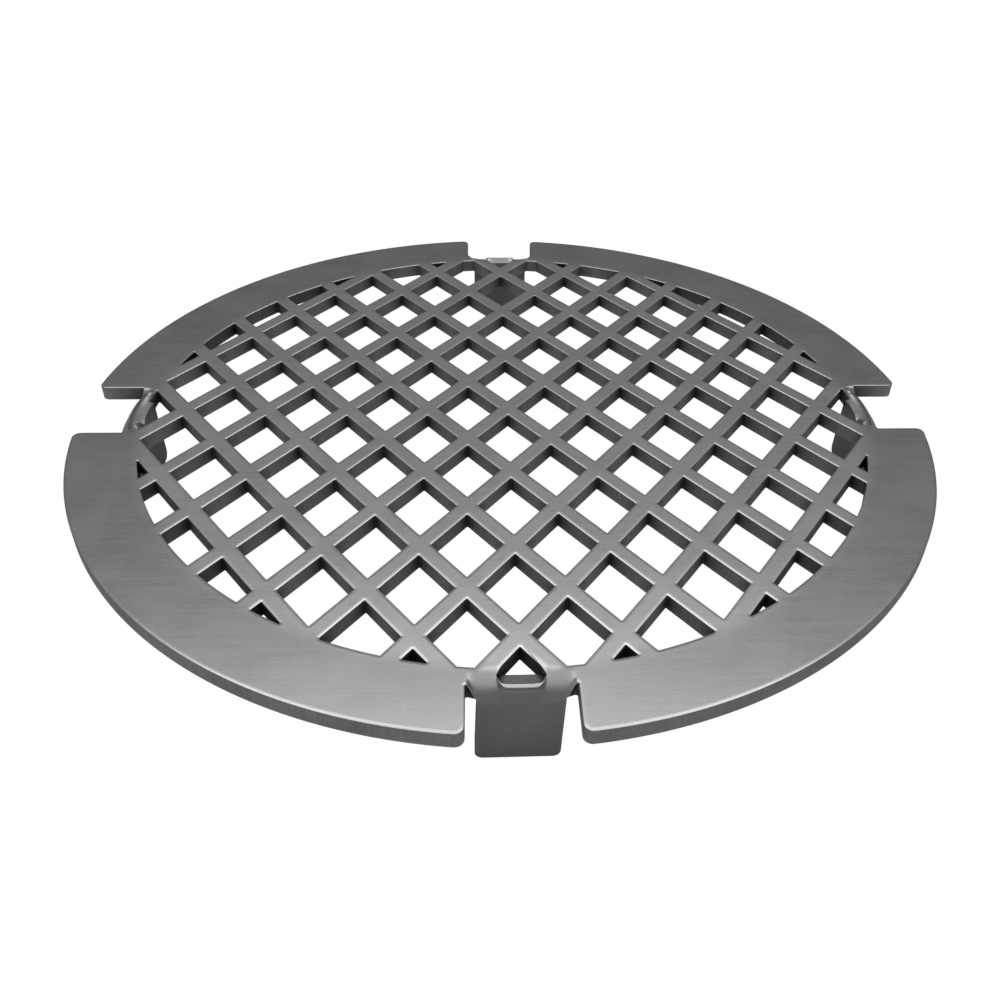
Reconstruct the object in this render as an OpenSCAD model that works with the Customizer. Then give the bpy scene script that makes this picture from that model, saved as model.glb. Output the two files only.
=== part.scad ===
// Round floor drain grate: one flat plate with a diamond lattice and four tabs bent down at the rim.
// Origin: centre of the plate on its underside, the face that sits on the drain frame. +Z is up, -Y is the front.

/* [Plate] */
// Outside diameter of the plate
plate_diameter = 304.8; // [300:0.2:330]
// Plate and tab thickness
plate_thickness = 5.3; // [4.8:0.1:6]
// Radius of the rounded corners where the rim meets a notch
rim_corner_radius = 2.6; // [1:0.1:4]

/* [Lattice] */
// Half of the left-to-right distance between two bar crossings of a row
pitch_x = 14.58; // [13:0.01:18]
// Distance between two rows of bar crossings, front to back
pitch_y = 19.5; // [17:0.01:22]
// Width of a lattice bar, measured across the bar
bar_width = 5.6; // [3:0.1:8]
// Radius of the circle that trims the openings next to the solid rim
lattice_radius = 129.6; // [126:0.1:130]
// How far an opening has to reach inside that circle to be cut at all
smallest_opening = 2; // [1:0.5:4]

/* [Tabs] */
// Width of the notch in the rim at each tab
notch_width = 30; // [28:0.5:36]
// Width of a bent tab
tab_width = 24; // [22:0.5:24]
// Distance from the plate centre to the line where the bend starts
bend_start = 130.6; // [130.5:0.1:131]
// Inside radius of the bend
bend_inner_radius = 0.5; // [0.4:0.1:1.5]
// Distance from the plate centre to the end of the slots beside a tab, seen from above
slot_end = 135; // [134:0.1:135.2]
// Distance from the underside of the plate down to the tab foot
tab_drop = 23.6; // [12:0.1:40]
// Radius of the two lower corners of a tab
tab_corner_radius = 2; // [0.5:0.1:6]

/* [Tab openings] */
// Half width of the opening at the bend, front and rear tab
front_opening_half = 6.6; // [5:0.1:9]
// Half width of the opening at the bend, left and right tab
side_opening_half = 13; // [11:0.1:13.5]
// Half width of the straight metal below the opening, front and rear tab
front_upright_half = 6.6; // [5:0.1:9]
// Half width of the straight metal below the opening, left and right tab
side_upright_half = 10.8; // [9:0.1:11.5]
// Distance from the top face of the plate down to the top of that straight metal
upright_depth = 1; // [0.5:0.1:3]

/* [Colours] */
// Colour of the flat plate
plate_colour = "#b4b6b9";
// Colour of the tabs
tab_colour = "#a2a4a8";

/* [Hidden] */

$fn = 96;

// Overlap given to cutting shapes so that they pass right through the metal
cut_extra = 2;

plate_radius = plate_diameter / 2;
bend_outer_radius = bend_inner_radius + plate_thickness;
// Height of the bend axis; the outside of the bend is tangent to the top face of the plate
bend_axis_height = plate_thickness - bend_outer_radius;

// Direction of a bar, measured from the X axis
bar_angle = atan2(pitch_y, pitch_x);
// Half diagonals of a diamond opening
opening_half_x = pitch_x - bar_width / 2 / sin(bar_angle);
opening_half_y = pitch_y - bar_width / 2 / cos(bar_angle);

// Lattice rows and columns tried; the rest lie outside the trimming circle
column_limit = ceil(lattice_radius / pitch_x) + 1;
row_limit = ceil(lattice_radius / pitch_y) + 1;

// Angle round the bend at which the outside of the bend passes over the slot end
slot_end_angle = asin((slot_end - bend_start) / bend_outer_radius);

// Direction of each tab as seen from the plate centre
right_angle = 0;
rear_angle = 90;
left_angle = 180;
front_angle = 270;

// Shortest distance from the plate centre to a corner of the opening centred at (x, y)
function nearest_corner(x, y) = min(
    norm([abs(x) - opening_half_x, y]),
    norm([x, abs(y) - opening_half_y])
);

// An opening is cut when bars do not cross at its centre and enough of it lies inside the circle
function is_opening(column, row) =
    abs(column + row) % 2 == 1
    && nearest_corner(column * pitch_x, row * pitch_y) < lattice_radius - smallest_opening;

// The four openings on the tab centre lines end where the bend starts
function is_tab_opening(column, row) =
    (column == 0 && abs(row) * pitch_y > lattice_radius)
    || (row == 0 && abs(column) * pitch_x > lattice_radius);

module diamond() {
    polygon([
        [opening_half_x, 0],
        [0, opening_half_y],
        [-opening_half_x, 0],
        [0, -opening_half_y]
    ]);
}

// Openings trimmed by the circle next to the solid rim
module plain_openings() {
    intersection() {
        circle(r = lattice_radius, $fn = 256);
        for (column = [-column_limit : column_limit])
            for (row = [-row_limit : row_limit])
                if (is_opening(column, row) && !is_tab_opening(column, row))
                    translate([column * pitch_x, row * pitch_y])
                        diamond();
    }
}

// The part of the four tab openings that lies in the flat plate
module tab_openings() {
    intersection() {
        union() {
            square([2 * front_opening_half, plate_diameter], center = true);
            square([plate_diameter, 2 * side_opening_half], center = true);
        }
        for (column = [-column_limit : column_limit])
            for (row = [-row_limit : row_limit])
                if (is_opening(column, row) && is_tab_opening(column, row))
                    translate([column * pitch_x, row * pitch_y])
                        diamond();
    }
}

// Notch in the rim on the +X side, from the bend start outwards
module notch() {
    translate([bend_start, -notch_width / 2])
        square([plate_radius, notch_width]);
}

// The sliver that leaves a rounded corner where the rim meets the notch side at +Y
module rim_corner_cut() {
    centre_y = notch_width / 2 + rim_corner_radius;
    centre_x = sqrt(pow(plate_radius - rim_corner_radius, 2) - pow(centre_y, 2));
    reach = (plate_radius + cut_extra) / (plate_radius - rim_corner_radius);
    difference() {
        polygon([
            [centre_x, centre_y],
            [centre_x, notch_width / 2 - cut_extra],
            [plate_radius + cut_extra, notch_width / 2 - cut_extra],
            [centre_x * reach, centre_y * reach]
        ]);
        translate([centre_x, centre_y])
            circle(r = rim_corner_radius);
    }
}

module plate_outline() {
    difference() {
        circle(r = plate_radius, $fn = 256);
        for (angle = [right_angle, rear_angle, left_angle, front_angle])
            rotate([0, 0, angle]) {
                notch();
                rim_corner_cut();
                mirror([0, 1, 0])
                    rim_corner_cut();
            }
    }
}

module grate_plate() {
    color(plate_colour)
        linear_extrude(height = plate_thickness)
            difference() {
                plate_outline();
                plain_openings();
                tab_openings();
            }
}

// A strip of the bend on the +X side; angles count from the top face of the plate round to the tab face
module bend_strip(width, from_angle, to_angle) {
    translate([bend_start, 0, bend_axis_height])
        rotate([90, 0, 0])
            rotate([0, 0, 90 - to_angle])
                rotate_extrude(angle = to_angle - from_angle)
                    translate([bend_inner_radius, -width / 2])
                        square([plate_thickness, width]);
}

// Outline of the straight lower part of a tab, hanging down from y = 0
module skirt_outline(height) {
    translate([-tab_width / 2, -height + tab_corner_radius])
        square([tab_width, height - tab_corner_radius]);
    translate([-tab_width / 2 + tab_corner_radius, -height])
        square([tab_width - 2 * tab_corner_radius, height]);
    for (side = [-1, 1])
        translate([side * (tab_width / 2 - tab_corner_radius), -height + tab_corner_radius])
            circle(r = tab_corner_radius);
}

// The straight metal of a tab: the skirt, and the part below the opening, which stands up between two bent parts
module straight_metal(upright_half) {
    upright_height = plate_thickness - upright_depth - bend_axis_height;
    translate([bend_start + bend_inner_radius, 0, bend_axis_height])
        rotate([90, 0, 90])
            linear_extrude(height = plate_thickness) {
                skirt_outline(tab_drop + bend_axis_height);
                translate([-upright_half, -tab_corner_radius])
                    square([2 * upright_half, upright_height + tab_corner_radius]);
            }
}

// The bent metal on both sides of the opening; the slots beside the tab end on the wider strip
module bent_metal(upright_half) {
    difference() {
        union() {
            bend_strip(notch_width, 0, slot_end_angle);
            bend_strip(tab_width, 0, 90);
        }
        translate([bend_start - cut_extra, -upright_half, bend_axis_height - cut_extra])
            cube([bend_outer_radius + 2 * cut_extra, 2 * upright_half, bend_outer_radius + 2 * cut_extra]);
    }
}

// A whole tab on the +X side
module tab(upright_half) {
    bent_metal(upright_half);
    straight_metal(upright_half);
}

module front_tab() {
    color(tab_colour)
        rotate([0, 0, front_angle])
            tab(front_upright_half);
}

module rear_tab() {
    color(tab_colour)
        rotate([0, 0, rear_angle])
            tab(front_upright_half);
}

module left_tab() {
    color(tab_colour)
        rotate([0, 0, left_angle])
            tab(side_upright_half);
}

module right_tab() {
    color(tab_colour)
        rotate([0, 0, right_angle])
            tab(side_upright_half);
}

grate_plate();
front_tab();
rear_tab();
left_tab();
right_tab();
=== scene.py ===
"""Round floor drain grate: a laser-cut, brushed stainless steel plate with four bent-down tabs.

The blank is drawn flat, as it is cut: an outer contour, the lattice openings and the tab openings.
Every edge gets a rolled rounding, the tabs are then bent down, and the sheet is split into the plate
and its four tabs. Lengths are millimetres up to the point where a mesh is made.
"""

import math

import bmesh
import bpy
import numpy as np
from mathutils import Euler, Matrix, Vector
from mathutils.geometry import delaunay_2d_cdt


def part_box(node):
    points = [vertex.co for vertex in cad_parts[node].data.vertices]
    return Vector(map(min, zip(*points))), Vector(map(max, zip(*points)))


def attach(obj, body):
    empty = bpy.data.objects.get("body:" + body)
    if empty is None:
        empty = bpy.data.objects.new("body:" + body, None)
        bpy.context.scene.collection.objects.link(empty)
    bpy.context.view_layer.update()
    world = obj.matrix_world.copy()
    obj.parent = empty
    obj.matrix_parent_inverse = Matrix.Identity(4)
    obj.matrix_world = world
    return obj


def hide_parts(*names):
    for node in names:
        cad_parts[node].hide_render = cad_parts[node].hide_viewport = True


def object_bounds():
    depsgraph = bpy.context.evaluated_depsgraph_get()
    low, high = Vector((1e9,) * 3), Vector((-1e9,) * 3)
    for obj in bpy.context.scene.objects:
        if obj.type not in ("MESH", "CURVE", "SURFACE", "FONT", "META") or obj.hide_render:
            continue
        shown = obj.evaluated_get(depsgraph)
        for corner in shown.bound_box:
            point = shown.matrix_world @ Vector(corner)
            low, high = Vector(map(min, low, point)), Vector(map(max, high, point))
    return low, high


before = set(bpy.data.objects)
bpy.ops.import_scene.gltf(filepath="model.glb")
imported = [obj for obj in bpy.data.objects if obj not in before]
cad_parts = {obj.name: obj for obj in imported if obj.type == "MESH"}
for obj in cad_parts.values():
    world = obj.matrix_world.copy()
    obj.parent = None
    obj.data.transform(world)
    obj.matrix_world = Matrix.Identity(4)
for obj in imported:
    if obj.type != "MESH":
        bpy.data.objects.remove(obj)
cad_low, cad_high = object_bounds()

MM = 0.001

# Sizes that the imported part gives
PLATE_LOW, PLATE_HIGH = (Vector(corner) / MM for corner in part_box("grate_plate"))
THICKNESS = PLATE_HIGH.z - PLATE_LOW.z
TAB_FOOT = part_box("front_tab")[0].z / MM

# Plate and lattice, as in the CAD source
PLATE_RADIUS = 152.4
RIM_CORNER = 2.6
PITCH_X = 14.58
PITCH_Y = 19.5
BAR_WIDTH = 5.6
LATTICE_RADIUS = 129.6
SMALLEST_OPENING = 2.0
OPENING_CORNER = 0.2
BAR_ANGLE = math.atan2(PITCH_Y, PITCH_X)
OPENING_HALF_X = PITCH_X - BAR_WIDTH / 2 / math.sin(BAR_ANGLE)
OPENING_HALF_Y = PITCH_Y - BAR_WIDTH / 2 / math.cos(BAR_ANGLE)

# Column and row of the lattice openings that end at the bend of a tab
TAB_COLUMN = 9
TAB_ROW = 7

# Tabs, in the flat blank; x runs outwards from the plate centre and y along the rim
NOTCH_HALF = 15.0
TAB_HALF = 12.0
BEND_START = 130.6
BEND_INNER_RADIUS = 0.5
SLOT_END = 135.0
SLOT_CORNER = 0.4
NEUTRAL_RADIUS = BEND_INNER_RADIUS + THICKNESS / 2
BEND_LENGTH = NEUTRAL_RADIUS * math.pi / 2
SKIRT_LENGTH = THICKNESS / 2 - NEUTRAL_RADIUS - TAB_FOOT
BLANK_END = BEND_START + BEND_LENGTH + SKIRT_LENGTH

# The bend fades out between the tab and the flat rim beside it
FULL_BEND_HALF = 12.3
NO_BEND_HALF = 14.8

# Below an opening the sheet is not bent but stands up, almost straight, between the two bent parts
UPRIGHT_ANGLE = math.radians(77)
UPRIGHT_RUN = 3.0
NEAR_BEND = 0.2

# How full the outward bow of a side tab is towards its ends, how soon in the bend it appears, and the
# length of straight metal over which it fades; the mesh has almost no rows there, so the fade that is
# drawn is even, down to the foot
BOW_POWER = 3
BOW_RISE = 1.5
BOW_FADE = 12.0

# Beside the opening of the front and rear tab the bend starts earlier and is rounder
EARLY_BEND = 2.0
EARLY_HALF = 9.0
EARLY_FADE = 4.5
EARLY_RAISE = 2 - math.pi / 2

# Half width of the tab mesh where it meets the mesh of the plate in the slots beside the tab
SEAM_HALF = 14.4

# Distance over which the duller look of a bend sets in
TAB_FADE = 2.0

# Distances that count as the same place, and the step that measures how the sheet turns
TINY = 1e-6
MERGE_DISTANCE = 1e-5
SAME_POINT = 1e-4
SLOPE_STEP = 1e-3
OPENING_END_BAND = 0.3

# Share of the way from a corner of an opening's end over which the rounding, and the cut look, change
END_EDGE_SHARE = 0.4
END_WALL_SHARE = 0.04

# Rolled edges, and how finely curves are divided
SOFT_EDGE_WIDTH = 0.95
SOFT_EDGE_TILT = math.radians(8)
TOP_EDGE = 0.28
BOTTOM_EDGE = 0.15
EDGE_STEPS = 4
CORNER_STEP = math.radians(16)
ARC_STEP = 2.0
BEND_LINE_STEP = 0.5
OPENING_END_STEP = 0.5
UPRIGHT_ROWS = (0, 0.2, 0.4, 0.55, 0.67, 0.77, 0.84, 0.89, 0.93, 0.96, 0.985, 1)
BEND_LINES = [
    BEND_START - EARLY_BEND + BEND_LINE_STEP * i
    for i in range(math.ceil((EARLY_BEND + BEND_LENGTH + UPRIGHT_RUN) / BEND_LINE_STEP) + 1)
]

# Rows of mesh points beside an opening and where the bend fades out, and how far they keep from the opening
FADE_STEPS = 5
SIDE_ROWS = (8.0, 10.0, TAB_HALF)
FADE_ROWS = [
    FULL_BEND_HALF + i * (NO_BEND_HALF - FULL_BEND_HALF) / FADE_STEPS for i in range(FADE_STEPS + 1)
]
FADE_ROWS += [SEAM_HALF, NOTCH_HALF]
SIDE_ROW_GAP = 0.5
FADE_ROW_GAP = 0.2

# Space between mesh points and edge rings, and where along the rim the lattice circle is kept clear as well
GRID_MARGIN = 0.1
LATTICE_CLEAR_HALF = 10

# Where a point of the plan can belong to a tab: this far before the bend line and beside the seam
SEARCH_BEFORE_BEND = 3
SEARCH_BESIDE_SEAM = 1

# Kind of result of the triangulation: every triangle up to the convex hull
ALL_TRIANGLES = 0

# What differs between the tabs:
# opening_radius: distance from the plate centre to the end of the opening
# end_edge: rounding of the outer edge at that end
# end_power: how suddenly the sheet rises at the ends of the opening
# foot_corner: radius of the two lower corners
# bow: how far the middle stands out
# lean: sideways, in mm per mm of straight metal
# early: how far before the bend line the bend starts
# seam_run: from the bend line to the end of the plate mesh
# turn: degrees from the right-hand tab
SIDE = {
    "opening_radius": 130.6,
    "end_edge": 2.2,
    "end_power": 3,
    "foot_corner": 3.0,
    "bow": 2.5,
    "lean": 0.0,
    "early": 0.0,
    "seam_run": 0.0,
}
FRONT = {
    "opening_radius": 131.0,
    "end_edge": 1.3,
    "end_power": 8,
    "foot_corner": 2.3,
    "bow": 0.0,
    "lean": 0.0,
    "early": EARLY_BEND,
    "seam_run": 0.5,
}
TABS = {
    "right_tab": {**SIDE, "turn": 0},
    "rear_tab": {**FRONT, "turn": 90, "foot_corner": 5.5},
    "left_tab": {**SIDE, "turn": 180},
    "front_tab": {**FRONT, "turn": 270, "lean": -0.035},
}


# ---------------------------------------------------------------- contours of the flat blank
# A contour is a closed list of (x, y, facing): a point of the wall and the direction it faces.


def wall_arc(centre, radius, first, last, hollow):
    """Points of a round wall that turns from facing first to facing last; a hollow one curls round air."""
    turn = last - first
    steps = max(1, math.ceil(abs(turn) / CORNER_STEP))
    if radius * abs(turn) > ARC_STEP:
        steps = max(steps, math.ceil(radius * abs(turn) / ARC_STEP))
    side = -radius if hollow else radius
    points = []
    for step in range(steps + 1):
        facing = first + turn * step / steps
        x = centre[0] + side * math.cos(facing)
        y = centre[1] + side * math.sin(facing)
        points.append((x, y, facing))
    return points


def closed(points):
    """The contour without points that repeat the one before."""
    kept = []
    for point in points:
        if not kept or math.dist(point[:2], kept[-1][:2]) > SAME_POINT:
            kept.append(point)
    if math.dist(kept[0][:2], kept[-1][:2]) < SAME_POINT:
        kept.pop()
    return kept


def pairs(items):
    """Each item of a closed list with the one after it."""
    return zip(items, items[1:] + items[:1])


def trimmed(polygon, angle, reach):
    """The part of a convex polygon that lies within reach of the origin in the direction of angle."""
    across = (math.cos(angle), math.sin(angle))
    kept = []
    for start, end in pairs(polygon):
        room_start = reach - across[0] * start[0] - across[1] * start[1]
        room_end = reach - across[0] * end[0] - across[1] * end[1]
        if room_start >= 0:
            kept.append(start)
        if room_start * room_end < 0:
            share = room_start / (room_start - room_end)
            x = start[0] + (end[0] - start[0]) * share
            y = start[1] + (end[1] - start[1]) * share
            kept.append((x, y))
    return kept


def chord(start, end, centre, radius):
    """The part of a polygon side that lies inside a disc, or None."""
    along = (end[0] - start[0], end[1] - start[1])
    offset = (start[0] - centre[0], start[1] - centre[1])
    a = along[0] ** 2 + along[1] ** 2
    b = along[0] * offset[0] + along[1] * offset[1]
    c = offset[0] ** 2 + offset[1] ** 2 - radius**2
    root = b * b - a * c
    if a < TINY or root <= 0:
        return None
    enter = max(0.0, (-b - math.sqrt(root)) / a)
    leave = min(1.0, (-b + math.sqrt(root)) / a)
    if leave - enter < TINY:
        return None
    return [(start[0] + along[0] * t, start[1] + along[1] * t) for t in (enter, leave)]


def turned_to(first, last):
    """The angle last, raised by full turns until it is not before first."""
    turn = (last - first) % math.tau
    return first if turn > math.tau - TINY else first + turn


def opening(walls, centre, radius):
    """Contour of the convex opening inside all the walls, given as (angle, reach), and inside a disc."""
    far = 2 * PLATE_RADIUS
    polygon = [(far, far), (-far, far), (-far, -far), (far, -far)]
    for angle, reach in walls:
        polygon = trimmed(polygon, angle, reach - OPENING_CORNER)
    sides = []
    for start, end in pairs(polygon):
        part = chord(start, end, centre, radius - OPENING_CORNER)
        if part:
            outward = math.atan2(end[1] - start[1], end[0] - start[0]) - math.pi / 2
            sides.append((part[0], part[1], outward))
    points = []
    for (_, corner, outward), (next_corner, _, next_outward) in pairs(sides):
        if math.dist(corner, next_corner) < SAME_POINT:
            last = turned_to(outward, next_outward)
            points += wall_arc(corner, OPENING_CORNER, outward, last, False)
        else:
            leave = turned_to(outward, math.atan2(corner[1] - centre[1], corner[0] - centre[0]))
            onward = math.atan2(next_corner[1] - centre[1], next_corner[0] - centre[0])
            meet = turned_to(leave, onward)
            last = turned_to(meet, next_outward)
            points += wall_arc(corner, OPENING_CORNER, outward, leave, False)
            points += wall_arc(centre, radius, leave, meet, False)
            points += wall_arc(next_corner, OPENING_CORNER, meet, last, False)
    return closed([(x, y, outward + math.pi) for x, y, outward in points])


def diamond_walls(x, y):
    """The four walls of a lattice opening centred at (x, y)."""
    half_x, half_y = OPENING_HALF_X, OPENING_HALF_Y
    reach = half_x * half_y / math.hypot(half_x, half_y)
    walls = []
    for side_x, side_y in ((1, 1), (-1, 1), (-1, -1), (1, -1)):
        angle = math.atan2(side_y * half_x, side_x * half_y)
        walls.append((angle, reach + x * math.cos(angle) + y * math.sin(angle)))
    return walls


def nearest_corner(x, y):
    """Shortest distance from the plate centre to a corner of the opening centred at (x, y)."""
    return min(math.hypot(abs(x) - OPENING_HALF_X, y), math.hypot(x, abs(y) - OPENING_HALF_Y))


def lattice_openings():
    """Contours of all openings that the circle next to the rim trims or leaves whole."""
    columns = math.ceil(LATTICE_RADIUS / PITCH_X) + 1
    rows = math.ceil(LATTICE_RADIUS / PITCH_Y) + 1
    contours = []
    for column in range(-columns, columns + 1):
        for row in range(-rows, rows + 1):
            x, y = column * PITCH_X, row * PITCH_Y
            on_tab = (column == 0 or row == 0) and math.hypot(x, y) > LATTICE_RADIUS
            if (column + row) % 2 == 0 or on_tab:
                continue
            if nearest_corner(x, y) < LATTICE_RADIUS - SMALLEST_OPENING:
                contours.append(opening(diamond_walls(x, y), (0, 0), LATTICE_RADIUS))
    return contours


def blank_to_world(x, y, turn):
    """Turns a point given at the right-hand tab to the tab at that many degrees."""
    angle = math.radians(turn)
    return x * math.cos(angle) - y * math.sin(angle), x * math.sin(angle) + y * math.cos(angle)


def world_to_blank(x, y, turn):
    """Turns a point given at the tab at that many degrees to the right-hand tab."""
    return blank_to_world(x, y, -turn)


def turned(contour, turn):
    """A contour given at the right-hand tab, turned to the tab at that many degrees."""
    return [(*blank_to_world(x, y, turn), facing + math.radians(turn)) for x, y, facing in contour]


def with_bend_lines(contour):
    """The contour with a point wherever it crosses a bend line, so that it can follow the bend."""
    points = []
    for start, end in pairs(contour):
        points.append(start)
        crossed = [line for line in BEND_LINES if (line - start[0]) * (line - end[0]) < 0]
        if end[0] < start[0]:
            crossed.reverse()
        for line in crossed:
            share = (line - start[0]) / (end[0] - start[0])
            facing = start[2] + (end[2] - start[2]) * share
            points.append((line, start[1] + (end[1] - start[1]) * share, facing))
    return closed(points)


def finer(contour, step):
    """The contour with points added to the long round parts, where the direction changes along a piece."""
    points = []
    for start, end in pairs(contour):
        turn = (end[2] - start[2] + math.pi) % math.tau - math.pi
        count = math.ceil(math.dist(start[:2], end[:2]) / step) if abs(turn) > TINY else 1
        for i in range(count):
            share = i / count
            x, y = (a + (b - a) * share for a, b in zip(start[:2], end[:2]))
            points.append((x, y, start[2] + turn * share))
    return points


def tab_opening(tab):
    """Contour of the lattice diamond that ends at the bend of a tab, turned to the right-hand side."""
    if tab["turn"] in (0, 180):
        walls = diamond_walls(TAB_COLUMN * PITCH_X, 0)
    else:
        upright = diamond_walls(0, TAB_ROW * PITCH_Y)
        walls = [(angle - math.pi / 2, reach) for angle, reach in upright]
    contour = opening(walls, (0, 0), tab["opening_radius"])
    return with_bend_lines(finer(contour, OPENING_END_STEP))


def half_tab_contour(foot_corner):
    """Outer contour from the middle of the tab foot round to the rim, on the +y side."""
    quarter = math.pi / 2
    corner_y = NOTCH_HALF + RIM_CORNER
    corner_x = math.sqrt((PLATE_RADIUS - RIM_CORNER) ** 2 - corner_y**2)
    rim_start = math.atan2(corner_y, corner_x)
    points = [(BLANK_END, 0.0, 0.0)]
    corner = (BLANK_END - foot_corner, TAB_HALF - foot_corner)
    points += wall_arc(corner, foot_corner, 0, quarter, False)
    slot_x = SLOT_END + SLOT_CORNER
    points += wall_arc((slot_x, TAB_HALF + SLOT_CORNER), SLOT_CORNER, quarter, 0, True)
    points.append((SLOT_END, SEAM_HALF, 0.0))
    points += wall_arc((slot_x, NOTCH_HALF - SLOT_CORNER), SLOT_CORNER, 0, -quarter, True)
    points += wall_arc((corner_x, corner_y), RIM_CORNER, -quarter, rim_start, False)
    points += wall_arc((0, 0), PLATE_RADIUS, rim_start, math.pi / 4, False)
    return points


def outer_contour():
    """The whole outside of the blank: rim, notches and the four tabs lying flat."""
    points = []
    for tab in TABS.values():
        half = half_tab_contour(tab["foot_corner"])
        mirrored = [(x, -y, -facing) for x, y, facing in reversed(half)]
        points += turned(with_bend_lines(mirrored + half), tab["turn"])
    return closed(points)


# ---------------------------------------------------------------- from the flat blank to the formed sheet


def smooth(share):
    share = min(1.0, max(0.0, share))
    return share * share * (3 - 2 * share)


def bend_share(y):
    """1 across a tab, fading to 0 in the flat rim beside it."""
    return smooth((NO_BEND_HALF - abs(y)) / (NO_BEND_HALF - FULL_BEND_HALF))


def upright_share(y, tab):
    """1 below the middle of an opening, where the sheet stands up, falling to 0 at the opening's ends."""
    return max(0.0, 1 - (abs(y) / tab["opening_half"]) ** tab["end_power"])


def formed(point, tab):
    """Where a point (x, y, z) of the flat blank goes at the right-hand tab; z starts at the underside."""
    x, y, z = point
    share = bend_share(y)
    early = tab["early"] * (1 - smooth((abs(y) - EARLY_HALF) / EARLY_FADE))
    run = x - BEND_START + early
    if run <= -NEAR_BEND or share < TINY:
        return np.array([x, y, z])
    upright = upright_share(y, tab) if x > BEND_START - NEAR_BEND else 0.0
    radius = NEUTRAL_RADIUS + early
    first = UPRIGHT_ANGLE * upright
    length = radius * math.pi / 2 + UPRIGHT_RUN * upright
    growth = (math.pi / 2 - first) / length
    start_x = radius - (1 - math.sin(first)) / growth - early
    start_z = -radius - UPRIGHT_RUN * upright + math.cos(first) / growth
    first *= share
    growth *= share
    bent = min(max(run, 0.0), length)
    angle = first + growth * bent
    straight = run - bent
    start_z += EARLY_RAISE * early * (upright + (1 - upright) * smooth(bent / length))
    middle_x = BEND_START + share * start_x + (math.sin(angle) - math.sin(first)) / growth
    middle_z = THICKNESS / 2 + share * start_z - (math.cos(first) - math.cos(angle)) / growth
    out = z - THICKNESS / 2
    across, up = math.cos(angle), math.sin(angle)
    bow = max(0.0, 1 - (abs(y) / tab["opening_half"]) ** BOW_POWER) * smooth(BOW_RISE * bent / length)
    middle_x += tab["bow"] * share * bow * (1 - smooth(straight / BOW_FADE))
    aside = y + tab["lean"] * share * straight
    formed_x = middle_x + straight * across + out * up
    formed_z = middle_z - straight * up + out * across
    return np.array([formed_x, aside, formed_z])


def form_vertex(position, normal):
    """The place and the normal of a vertex after bending."""
    for tab in TABS.values():
        x, y = world_to_blank(position[0], position[1], tab["turn"])
        if x > BEND_START - tab["early"] - NEAR_BEND and abs(y) < NO_BEND_HALF:
            local = np.array([x, y, position[2]])
            nx, ny = world_to_blank(normal[0], normal[1], tab["turn"])
            here = formed(local, tab)
            slopes = [
                (formed(local + step, tab) - formed(local - step, tab)) / (2 * SLOPE_STEP)
                for step in SLOPE_STEP * np.eye(3)
            ]
            local_normal = (
                nx * np.cross(slopes[1], slopes[2])
                + ny * np.cross(slopes[2], slopes[0])
                + normal[2] * np.cross(slopes[0], slopes[1])
            )
            local_normal /= np.linalg.norm(local_normal)
            px, py = blank_to_world(here[0], here[1], tab["turn"])
            qx, qy = blank_to_world(local_normal[0], local_normal[1], tab["turn"])
            return (px, py, here[2]), (qx, qy, local_normal[2])
    return position, normal


def opening_end(x, y):
    """The tab whose opening ends at a point, and the place there: 0 at a corner, 1 in the middle."""
    for tab in TABS.values():
        local_x, local_y = world_to_blank(x, y, tab["turn"])
        at_end = abs(math.hypot(local_x, local_y) - tab["opening_radius"]) < OPENING_END_BAND
        if at_end and local_x > 0 and abs(local_y) < tab["opening_half"]:
            return tab, 1 - abs(local_y) / tab["opening_half"]
    return None, 0.0


def top_edge(x, y):
    """Radius of the rolled top edge at a point of a contour; larger where an opening ends at a bend."""
    tab, inside = opening_end(x, y)
    if tab is None:
        return TOP_EDGE
    return TOP_EDGE + (tab["end_edge"] - TOP_EDGE) * smooth(inside / END_EDGE_SHARE)


def edge_profile(top):
    """Rings from the top face round the rolled edges to the underside, as (inset, height, tilt)."""
    rings = [(top + SOFT_EDGE_WIDTH, THICKNESS, math.pi / 2)]
    drop = SOFT_EDGE_WIDTH * math.sin(SOFT_EDGE_TILT) / 2
    for step in range(EDGE_STEPS + 1):
        tilt = (math.pi / 2 - SOFT_EDGE_TILT) * (1 - step / EDGE_STEPS)
        height = THICKNESS - drop - top * (1 - math.sin(tilt))
        rings.append((top * (1 - math.cos(tilt)), height, tilt))
    for step in range(EDGE_STEPS + 1):
        tilt = -math.pi / 2 * step / EDGE_STEPS
        rings.append((BOTTOM_EDGE * (1 - math.cos(tilt)), BOTTOM_EDGE * (1 + math.sin(tilt)), tilt))
    return rings


def piece_at(x, y):
    """Name of the CAD node whose metal holds a point of the flat blank."""
    for name, tab in TABS.items():
        local_x, local_y = world_to_blank(x, y, tab["turn"])
        if local_x > tab["corner_x"] and abs(local_y) < SEAM_HALF:
            return name
    return "grate_plate"


def tab_share(x, y):
    """1 where the steel has the duller look of the bends, 0 on the plate and on an opening's bright end."""
    for tab in TABS.values():
        local_x, local_y = world_to_blank(x, y, tab["turn"])
        start = BEND_START - tab["early"]
        if local_x > start and abs(local_y) < NO_BEND_HALF:
            past_opening = math.hypot(local_x, local_y) - tab["opening_radius"]
            in_line = abs(local_y) < tab["opening_half"] - NEAR_BEND
            if in_line and past_opening < tab["end_edge"] + NEAR_BEND:
                return 0.0
            return smooth((local_x - start) / TAB_FADE) * bend_share(local_y)
    return 0.0


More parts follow.
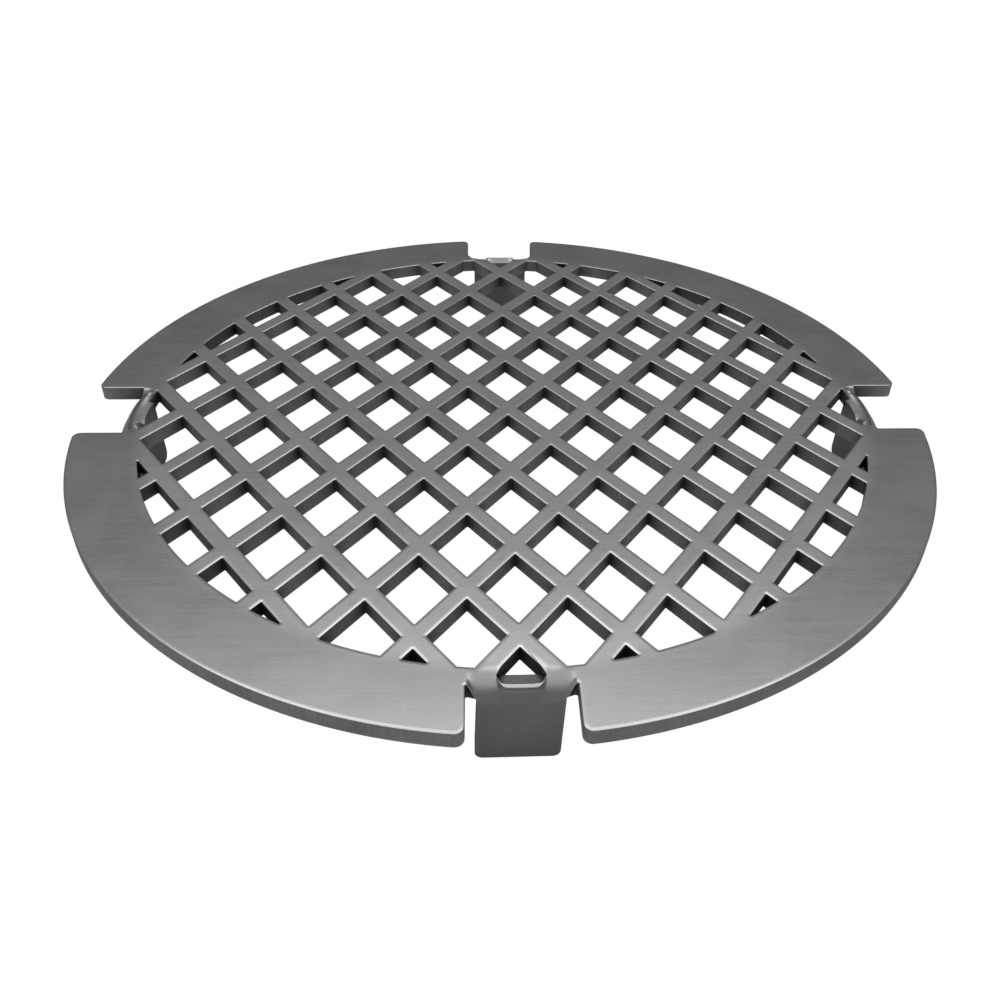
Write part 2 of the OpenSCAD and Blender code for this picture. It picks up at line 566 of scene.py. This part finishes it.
class Sheet:
    """The flat sheet: vertices with normals and share of cut wall, faces with the piece that owns them."""

    def __init__(self):
        self.flat = []
        self.normals = []
        self.walls = []
        self.faces = []
        self.owners = []

    def vertex(self, x, y, z, normal, wall):
        self.flat.append((x, y, z))
        self.normals.append(normal)
        self.walls.append(wall)
        return len(self.flat) - 1

    def face(self, corners, owner):
        self.faces.append(corners)
        self.owners.append(owner)


def add_walls(sheet, contour):
    """Adds the rings of a contour and the wall between them; returns the columns of vertex numbers."""
    columns = []
    for x, y, facing in contour:
        out_x, out_y = math.cos(facing), math.sin(facing)
        cut = 1 - smooth(opening_end(x, y)[1] / END_WALL_SHARE)
        column = []
        for inset, height, tilt in edge_profile(top_edge(x, y)):
            level = math.cos(tilt)
            normal = (out_x * level, out_y * level, math.sin(tilt))
            place = (x - out_x * inset, y - out_y * inset, height)
            column.append(sheet.vertex(*place, normal, level * cut))
        columns.append(column)
    for (start, column), (end, next_column) in pairs(list(zip(contour, columns))):
        owner = piece_at((start[0] + end[0]) / 2, (start[1] + end[1]) / 2)
        for ring in range(len(column) - 1):
            sheet.face((column[ring], column[ring + 1], next_column[ring + 1], next_column[ring]), owner)
    return columns


def is_inside(x, y, contour, margin):
    """Whether a point lies inside a contour, or None if it is nearer than margin to its line."""
    inside = False
    for (ax, ay, _), (bx, by, _) in pairs(contour):
        length = math.hypot(bx - ax, by - ay)
        along = ((x - ax) * (bx - ax) + (y - ay) * (by - ay)) / length**2
        along = min(1.0, max(0.0, along))
        if math.hypot(ax + (bx - ax) * along - x, ay + (by - ay) * along - y) < margin:
            return None
        if (ay > y) != (by > y) and x < ax + (y - ay) / (by - ay) * (bx - ax):
            inside = not inside
    return inside


def bend_points(tab):
    """Points in the metal of the right-hand bend on a grid of bend lines, for the faces to follow."""
    half = half_tab_contour(tab["foot_corner"])
    outline = closed([(x, -y, -facing) for x, y, facing in reversed(half)] + half + [(0.0, 0.0, 0.0)])
    cut = tab_opening(tab)
    across = [tab["opening_half"] * share for share in UPRIGHT_ROWS]
    across += [y for y in SIDE_ROWS if y > tab["opening_half"] + SIDE_ROW_GAP]
    across += [y for y in FADE_ROWS if y > tab["opening_half"] + FADE_ROW_GAP]
    rows = sorted(set(across + [-y for y in across]))
    margin = TOP_EDGE + SOFT_EDGE_WIDTH + GRID_MARGIN
    points = []
    for x in BEND_LINES:
        for y in rows:
            end_y = min(abs(y), tab["opening_half"])
            end_x = math.sqrt(tab["opening_radius"] ** 2 - end_y**2)
            edge = top_edge(*blank_to_world(end_x, end_y, tab["turn"]))
            room = edge + SOFT_EDGE_WIDTH + GRID_MARGIN
            if abs(y) > LATTICE_CLEAR_HALF and math.hypot(x, y) < LATTICE_RADIUS + margin:
                continue
            if is_inside(x, y, outline, margin) and is_inside(x, y, cut, room) is False:
                points.append((x, y))
    return points


def seam_line(tab, side, spots, loop):
    """Numbers of the points along the seam on one side of a tab, from its opening's corner to the slot."""
    local = [world_to_blank(x, y, tab["turn"]) for x, y in spots]
    corner = max(loop, key=lambda i: local[i][1] * side)
    seam_x = BEND_START + tab["seam_run"]
    line = []
    for i, (x, y) in enumerate(local):
        along_rim = abs(x - seam_x) < TINY and abs(y) < SEAM_HALF + TINY
        along_slot = abs(abs(y) - SEAM_HALF) < TINY and seam_x - TINY < x < SLOT_END + TINY
        if y * side > 0 and (along_rim or along_slot) and i not in loop:
            line.append(i)
    return [corner] + sorted(line, key=lambda i: local[i][0] + abs(local[i][1]))


def owner_of(x, y, regions):
    """Name of the piece that holds a point of the plan."""
    for name, region in regions.items():
        local_x, local_y = world_to_blank(x, y, TABS[name]["turn"])
        past_start = local_x > BEND_START - SEARCH_BEFORE_BEND
        near = past_start and abs(local_y) < SEAM_HALF + SEARCH_BESIDE_SEAM
        if near and is_inside(x, y, region, 0):
            return name
    return "grate_plate"


def build_sheet():
    """The whole sheet as cut, still flat, and the columns of vertex numbers along the seams."""
    sheet = Sheet()
    contours = [outer_contour()] + lattice_openings()
    contours += [turned(tab_opening(tab), tab["turn"]) for tab in TABS.values()]
    plan, spots, stacks, loops = [], [], [], []
    for contour in contours:
        columns = add_walls(sheet, contour)
        loops.append(list(range(len(plan), len(plan) + len(columns))))
        plan += [sheet.flat[column[0]][:2] for column in columns]
        spots += [(x, y) for x, y, _ in contour]
        stacks += columns
    for tab in TABS.values():
        for x, y in bend_points(tab):
            world = blank_to_world(x, y, tab["turn"])
            plan.append(world)
            spots.append(world)
            above = sheet.vertex(*world, THICKNESS, (0, 0, 1), 0)
            below = sheet.vertex(*world, 0, (0, 0, -1), 0)
            stacks.append([above, below])

    seams, regions = [], {}
    for (name, tab), loop in zip(TABS.items(), loops[-len(TABS):]):
        right, left = (seam_line(tab, side, spots, loop) for side in (-1, 1))
        seams += [right, left]
        far = 2 * PLATE_RADIUS
        beyond = [blank_to_world(far, side * SEAM_HALF, tab["turn"]) for side in (-1, 1)]
        around = [plan[i] for i in right] + beyond + [plan[i] for i in reversed(left)]
        regions[name] = [(x, y, 0) for x, y in around]
    edges = [edge for line in seams for edge in zip(line, line[1:])]

    # A triangle is metal if it lies inside loop 0, the outer contour, and inside no other loop
    flat = [Vector(point) for point in plan]
    result = delaunay_2d_cdt(flat, edges, loops, ALL_TRIANGLES, MERGE_DISTANCE, True)
    _, _, triangles, sources, _, faces = result
    for triangle, inside in zip(triangles, faces):
        if inside != [0]:
            continue
        corners = [sources[i][0] for i in triangle]
        x, y = (sum(plan[i][axis] for i in corners) / 3 for axis in (0, 1))
        owner = owner_of(x, y, regions)
        sheet.face([stacks[i][0] for i in corners], owner)
        sheet.face([stacks[i][-1] for i in reversed(corners)], owner)
    return sheet, [[stacks[i] for i in line] for line in seams]


def add_caps(sheet, seams):
    """Closes the plate and the tabs along the seams, where both have the same cut face."""
    for number, line in enumerate(seams):
        tab = list(TABS)[number // 2]
        for owner in ("grate_plate", tab):
            for near, far in zip(line, line[1:]):
                sheet.face((near[0], near[-1], far[-1], far[0]), owner)
            sheet.face(line[0], owner)
            sheet.face(line[-1], owner)


def make_piece(sheet, node, name):
    """Makes one formed piece from the faces that it owns."""
    faces = [face for face, owner in zip(sheet.faces, sheet.owners) if owner == node]
    used = sorted({corner for face in faces for corner in face})
    place = {corner: number for number, corner in enumerate(used)}
    shaped = [form_vertex(sheet.flat[corner], sheet.normals[corner]) for corner in used]
    mesh = bpy.data.meshes.new(name)
    points = [Vector(point) * MM for point, _ in shaped]
    mesh.from_pydata(points, [], [[place[corner] for corner in face] for face in faces])
    orient = bmesh.new()
    orient.from_mesh(mesh)
    bmesh.ops.recalc_face_normals(orient, faces=orient.faces)
    orient.to_mesh(mesh)
    orient.free()
    mesh.shade_smooth()
    mesh.normals_split_custom_set_from_vertices([normal for _, normal in shaped])
    flat = mesh.attributes.new("blank", "FLOAT_VECTOR", "POINT")
    flat.data.foreach_set("vector", np.array([sheet.flat[c] for c in used], float).ravel() * MM)
    dull = mesh.attributes.new("tab", "FLOAT", "POINT")
    dull.data.foreach_set("value", np.array([tab_share(*sheet.flat[c][:2]) for c in used], float))
    wall = mesh.attributes.new("wall", "FLOAT", "POINT")
    wall.data.foreach_set("value", np.array([sheet.walls[c] for c in used], float))
    piece = bpy.data.objects.new(name, mesh)
    bpy.context.scene.collection.objects.link(piece)
    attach(piece, "root")
    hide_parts(node)
    return piece


# The corner of each opening's end, which the functions above need
for tab in TABS.values():
    tab["corner_x"], tab["opening_half"], _ = max(tab_opening(tab), key=lambda point: point[1])
sheet, seams = build_sheet()
add_caps(sheet, seams)
plate = make_piece(sheet, "grate_plate", "plate_formed")
tabs = [make_piece(sheet, node, node + "_formed") for node in TABS]


# ---------------------------------------------------------------- materials

PLATE_TONE = 0.60
PLATE_ROUGHNESS = 0.28
PLATE_METAL = 0.95
LATTICE_TONE = 0.78
TAB_TONE = 0.48
TAB_ROUGHNESS = 0.44
TAB_METAL = 0.5
WALL_TONE = 0.56
# Reach and strength of the painted shade: ambient occlusion that darkens the walls' colour in corners and
# hollows
WALL_PAINTED_SHADE_REACH = 0.012
WALL_PAINTED_SHADE_POWER = 2.4
WALL_ROUGHNESS = 0.55
WALL_METAL = 0.5
# Lighter colour on the rolled edges, partly polished metal and partly a painted highlight, and how much
# smoother those edges are
EDGE_POLISH_AND_HIGHLIGHT_TONE = 0.5
EDGE_POLISH = 0.4
RELIEF = 0.00001

# Noises of the steel, as (scale per metre, detail, roughness)
BLOTCH = ((55, 55, 55), 3, 0.6)
STREAK = ((45, 800, 45), 4, 0.65)
SPECKLE = ((2200, 2800, 2200), 2, 0.6)
GRIT = ((1300, 1300, 90), 3, 0.6)

# Half the width over which the tone of the lattice changes to that of the rim, in millimetres
TONE_CHANGE_HALF = 3

# Share of wall above which a surface starts to look cut, and how much bluer than grey the steel is
CUT_START = 0.6
BLUE_TINT = 0.006


class Nodes:
    """A short way to add and join shader nodes."""

    def __init__(self, tree):
        self.tree = tree
        tree.nodes.clear()

    def add(self, kind, inputs=(), **settings):
        node = self.tree.nodes.new(kind)
        for key, value in settings.items():
            setattr(node, key, value)
        for key, value in dict(inputs).items():
            if isinstance(value, bpy.types.NodeSocket):
                self.tree.links.new(value, node.inputs[key])
            else:
                node.inputs[key].default_value = value
        return node

    def math(self, operation, first, second):
        return self.add("ShaderNodeMath", {0: first, 1: second}, operation=operation).outputs[0]

    def noise(self, place, scale, detail, roughness=0.5):
        """Noise around 0, from about -0.5 to 0.5, with a scale per metre for each direction."""
        stretched = self.add("ShaderNodeVectorMath", {0: place, 1: scale}, operation="MULTIPLY").outputs[0]
        inputs = {"Vector": stretched, "Scale": 1.0, "Detail": detail, "Roughness": roughness}
        return self.math("SUBTRACT", self.add("ShaderNodeTexNoise", inputs).outputs["Fac"], 0.5)

    def blend(self, share, first, second):
        """first where share is 0, second where it is 1."""
        return self.add("ShaderNodeMix", {0: share, 2: first, 3: second}).outputs[0]

    def sum(self, base, *terms):
        """The base value plus each (value, factor) pair."""
        for value, factor in terms:
            inputs = {0: value, 1: factor, 2: base}
            base = self.add("ShaderNodeMath", inputs, operation="MULTIPLY_ADD").outputs[0]
        return base


def steel(name):
    """Brushed steel: streaks from left to right on the faces, rougher and darker cut metal on the walls
    with painted shade in their corners, and polished rolled edges with a partly painted highlight.
    """
    material = bpy.data.materials.new(name)
    material.use_nodes = True
    nodes = Nodes(material.node_tree)
    blank = nodes.add("ShaderNodeAttribute", attribute_name="blank").outputs["Vector"]
    wall = nodes.add("ShaderNodeAttribute", attribute_name="wall").outputs["Fac"]
    tab = nodes.add("ShaderNodeAttribute", attribute_name="tab").outputs["Fac"]
    cut = nodes.add("ShaderNodeMapRange", {0: wall, 1: CUT_START, 2: 1.0}).outputs[0]

    blotch = nodes.noise(blank, *BLOTCH)
    streak = nodes.noise(blank, *STREAK)
    speckle = nodes.noise(blank, *SPECKLE)
    grit = nodes.noise(blank, *GRIT)

    centre_distance = nodes.add("ShaderNodeVectorMath", {0: blank}, operation="LENGTH").outputs["Value"]
    tone_low = (LATTICE_RADIUS - TONE_CHANGE_HALF) * MM
    tone_high = (LATTICE_RADIUS + TONE_CHANGE_HALF) * MM
    rim = {0: centre_distance, 1: tone_low, 2: tone_high}
    on_rim = nodes.add("ShaderNodeMapRange", rim).outputs[0]
    lattice_tone = nodes.blend(on_rim, LATTICE_TONE, PLATE_TONE)
    tone = nodes.blend(tab, lattice_tone, TAB_TONE)
    face_tone = nodes.sum(tone, (blotch, 0.12), (streak, 0.10), (speckle, 0.14))
    # Painted shade: ambient occlusion darkens the base colour of the cut walls, most where walls meet in
    # corners and deep in the openings
    reach = {"Distance": WALL_PAINTED_SHADE_REACH}
    hollow = nodes.add("ShaderNodeAmbientOcclusion", reach, samples=8).outputs["AO"]
    painted_shade = nodes.math("POWER", hollow, WALL_PAINTED_SHADE_POWER)
    cut_tone = nodes.sum(WALL_TONE, (grit, 0.3), (speckle, 0.5), (blotch, 0.3))
    wall_tone = nodes.math("MULTIPLY", painted_shade, cut_tone)
    # Rolled edges: smoother, polished metal, and a lighter base colour that is partly polished metal and
    # partly a painted highlight along the edges
    edge = nodes.math("MULTIPLY", wall, nodes.math("SUBTRACT", 1.0, wall))
    grey = nodes.sum(nodes.blend(cut, face_tone, wall_tone), (edge, EDGE_POLISH_AND_HIGHLIGHT_TONE))
    blue = nodes.sum(BLUE_TINT, (grey, 1.0))
    colour = nodes.add("ShaderNodeCombineColor", {0: grey, 1: grey, 2: blue}).outputs[0]
    sheet_rough = nodes.blend(tab, PLATE_ROUGHNESS, TAB_ROUGHNESS)
    face_rough = nodes.sum(sheet_rough, (blotch, 0.10), (streak, 0.06))
    rough = nodes.blend(cut, face_rough, nodes.sum(WALL_ROUGHNESS, (grit, 0.2)))
    rough = nodes.sum(rough, (edge, -EDGE_POLISH))
    metal = nodes.blend(cut, nodes.blend(tab, PLATE_METAL, TAB_METAL), WALL_METAL)
    relief = nodes.blend(cut, nodes.sum(0.0, (streak, 0.6), (speckle, 0.8)), grit)
    bump = nodes.add("ShaderNodeBump", {"Strength": 0.5, "Distance": RELIEF, "Height": relief}).outputs[0]
    shader = nodes.add(
        "ShaderNodeBsdfPrincipled",
        {"Metallic": metal, "Base Color": colour, "Roughness": rough, "Normal": bump},
    )
    nodes.add("ShaderNodeOutputMaterial", {"Surface": shader.outputs["BSDF"]})
    return material


plate.data.materials.append(steel("plate_steel"))
tab_steel = steel("tab_steel")
for tab in tabs:
    tab.data.materials.append(tab_steel)


# ---------------------------------------------------------------- stage, light and camera


FLOOR_HALF = 6.0
FLOOR_GREY = 0.37


def make_floor():
    """A floor at the foot of the part: white to the camera, dull grey to the light, clear from below."""
    mesh = bpy.data.meshes.new("floor")
    half = FLOOR_HALF
    height = cad_low.z
    corners = [(x * half, y * half, height) for x, y in ((-1, -1), (1, -1), (1, 1), (-1, 1))]
    mesh.from_pydata(corners, [], [(0, 1, 2, 3)])
    floor = bpy.data.objects.new("floor", mesh)
    bpy.context.scene.collection.objects.link(floor)
    material = bpy.data.materials.new("pale_floor")
    material.use_nodes = True
    nodes = Nodes(material.node_tree)
    seen = nodes.add("ShaderNodeLightPath").outputs["Is Camera Ray"]
    below = nodes.add("ShaderNodeNewGeometry").outputs["Backfacing"]
    dull = nodes.add("ShaderNodeBsdfDiffuse", {"Color": (FLOOR_GREY, FLOOR_GREY, FLOOR_GREY, 1)})
    bright = nodes.add("ShaderNodeEmission", {"Color": (1, 1, 1, 1), "Strength": 1.0})
    clear = nodes.add("ShaderNodeBsdfTransparent")
    top = nodes.add("ShaderNodeMixShader", {0: seen, 1: dull.outputs[0], 2: bright.outputs[0]})
    both = nodes.add("ShaderNodeMixShader", {0: below, 1: top.outputs[0], 2: clear.outputs[0]})
    nodes.add("ShaderNodeOutputMaterial", {"Surface": both.outputs[0]})
    mesh.materials.append(material)


def make_light(name, location, target, width, height, power):
    data = bpy.data.lights.new(name, "AREA")
    data.shape = "RECTANGLE"
    data.size = width
    data.size_y = height
    data.energy = power
    light = bpy.data.objects.new(name, data)
    light.location = location
    light.rotation_euler = (Vector(target) - Vector(location)).to_track_quat("-Z", "Y").to_euler()
    bpy.context.scene.collection.objects.link(light)


# Brightness of the surroundings by sine of the elevation: dark near the floor, a bright band high up
SKY = (
    (0.0, 0.035),
    (0.25, 0.065),
    (0.38, 0.155),
    (0.46, 0.11),
    (0.54, 0.175),
    (0.66, 0.19),
    (0.73, 0.32),
    (0.77, 0.95),
    (0.82, 1.4),
    (0.9, 0.38),
)


def make_sky():
    """Surroundings that light the part with SKY and are white to the camera."""
    world = bpy.data.worlds.new("studio")
    bpy.context.scene.world = world
    world.use_nodes = True
    nodes = Nodes(world.node_tree)
    direction = nodes.add("ShaderNodeTexCoord").outputs["Generated"]
    height = nodes.add("ShaderNodeSeparateXYZ", {0: direction}).outputs["Z"]
    ramp = nodes.add("ShaderNodeValToRGB", {0: height})
    stops = ramp.color_ramp.elements
    while len(stops) < len(SKY):
        stops.new(0.5)
    brightest = max(level for _, level in SKY)
    for stop, (position, level) in zip(stops, SKY):
        stop.position = position
        stop.color = (level / brightest, level / brightest, level / brightest, 1)
    sky = nodes.add("ShaderNodeBackground", {"Color": ramp.outputs[0], "Strength": brightest})
    backdrop = nodes.add("ShaderNodeBackground", {"Color": (1, 1, 1, 1), "Strength": 1.0})
    seen = nodes.add("ShaderNodeLightPath").outputs["Is Camera Ray"]
    both = nodes.add("ShaderNodeMixShader", {0: seen, 1: sky.outputs[0], 2: backdrop.outputs[0]})
    nodes.add("ShaderNodeOutputWorld", {"Surface": both.outputs[0]})


make_floor()
make_light("top_softbox", (0, 0, 1.2), (0, 0, 0), 1.4, 1.4, 3)
make_sky()

camera_data = bpy.data.cameras.new("camera")
camera_data.lens = 36.063
camera_data.shift_x = -0.04094
camera_data.shift_y = 0.0
camera_data.clip_start = 0.01
camera = bpy.data.objects.new("camera", camera_data)
camera.location = (-0.010637, -0.314115, 0.198378 + THICKNESS * MM)
camera.rotation_euler = Euler([math.radians(a) for a in (52.4931, -1.6896, -3.124)], "XYZ")
bpy.context.scene.collection.objects.link(camera)
bpy.context.scene.camera = camera
bpy.context.scene.view_settings.view_transform = "Standard"

bpy.context.view_layer.update()
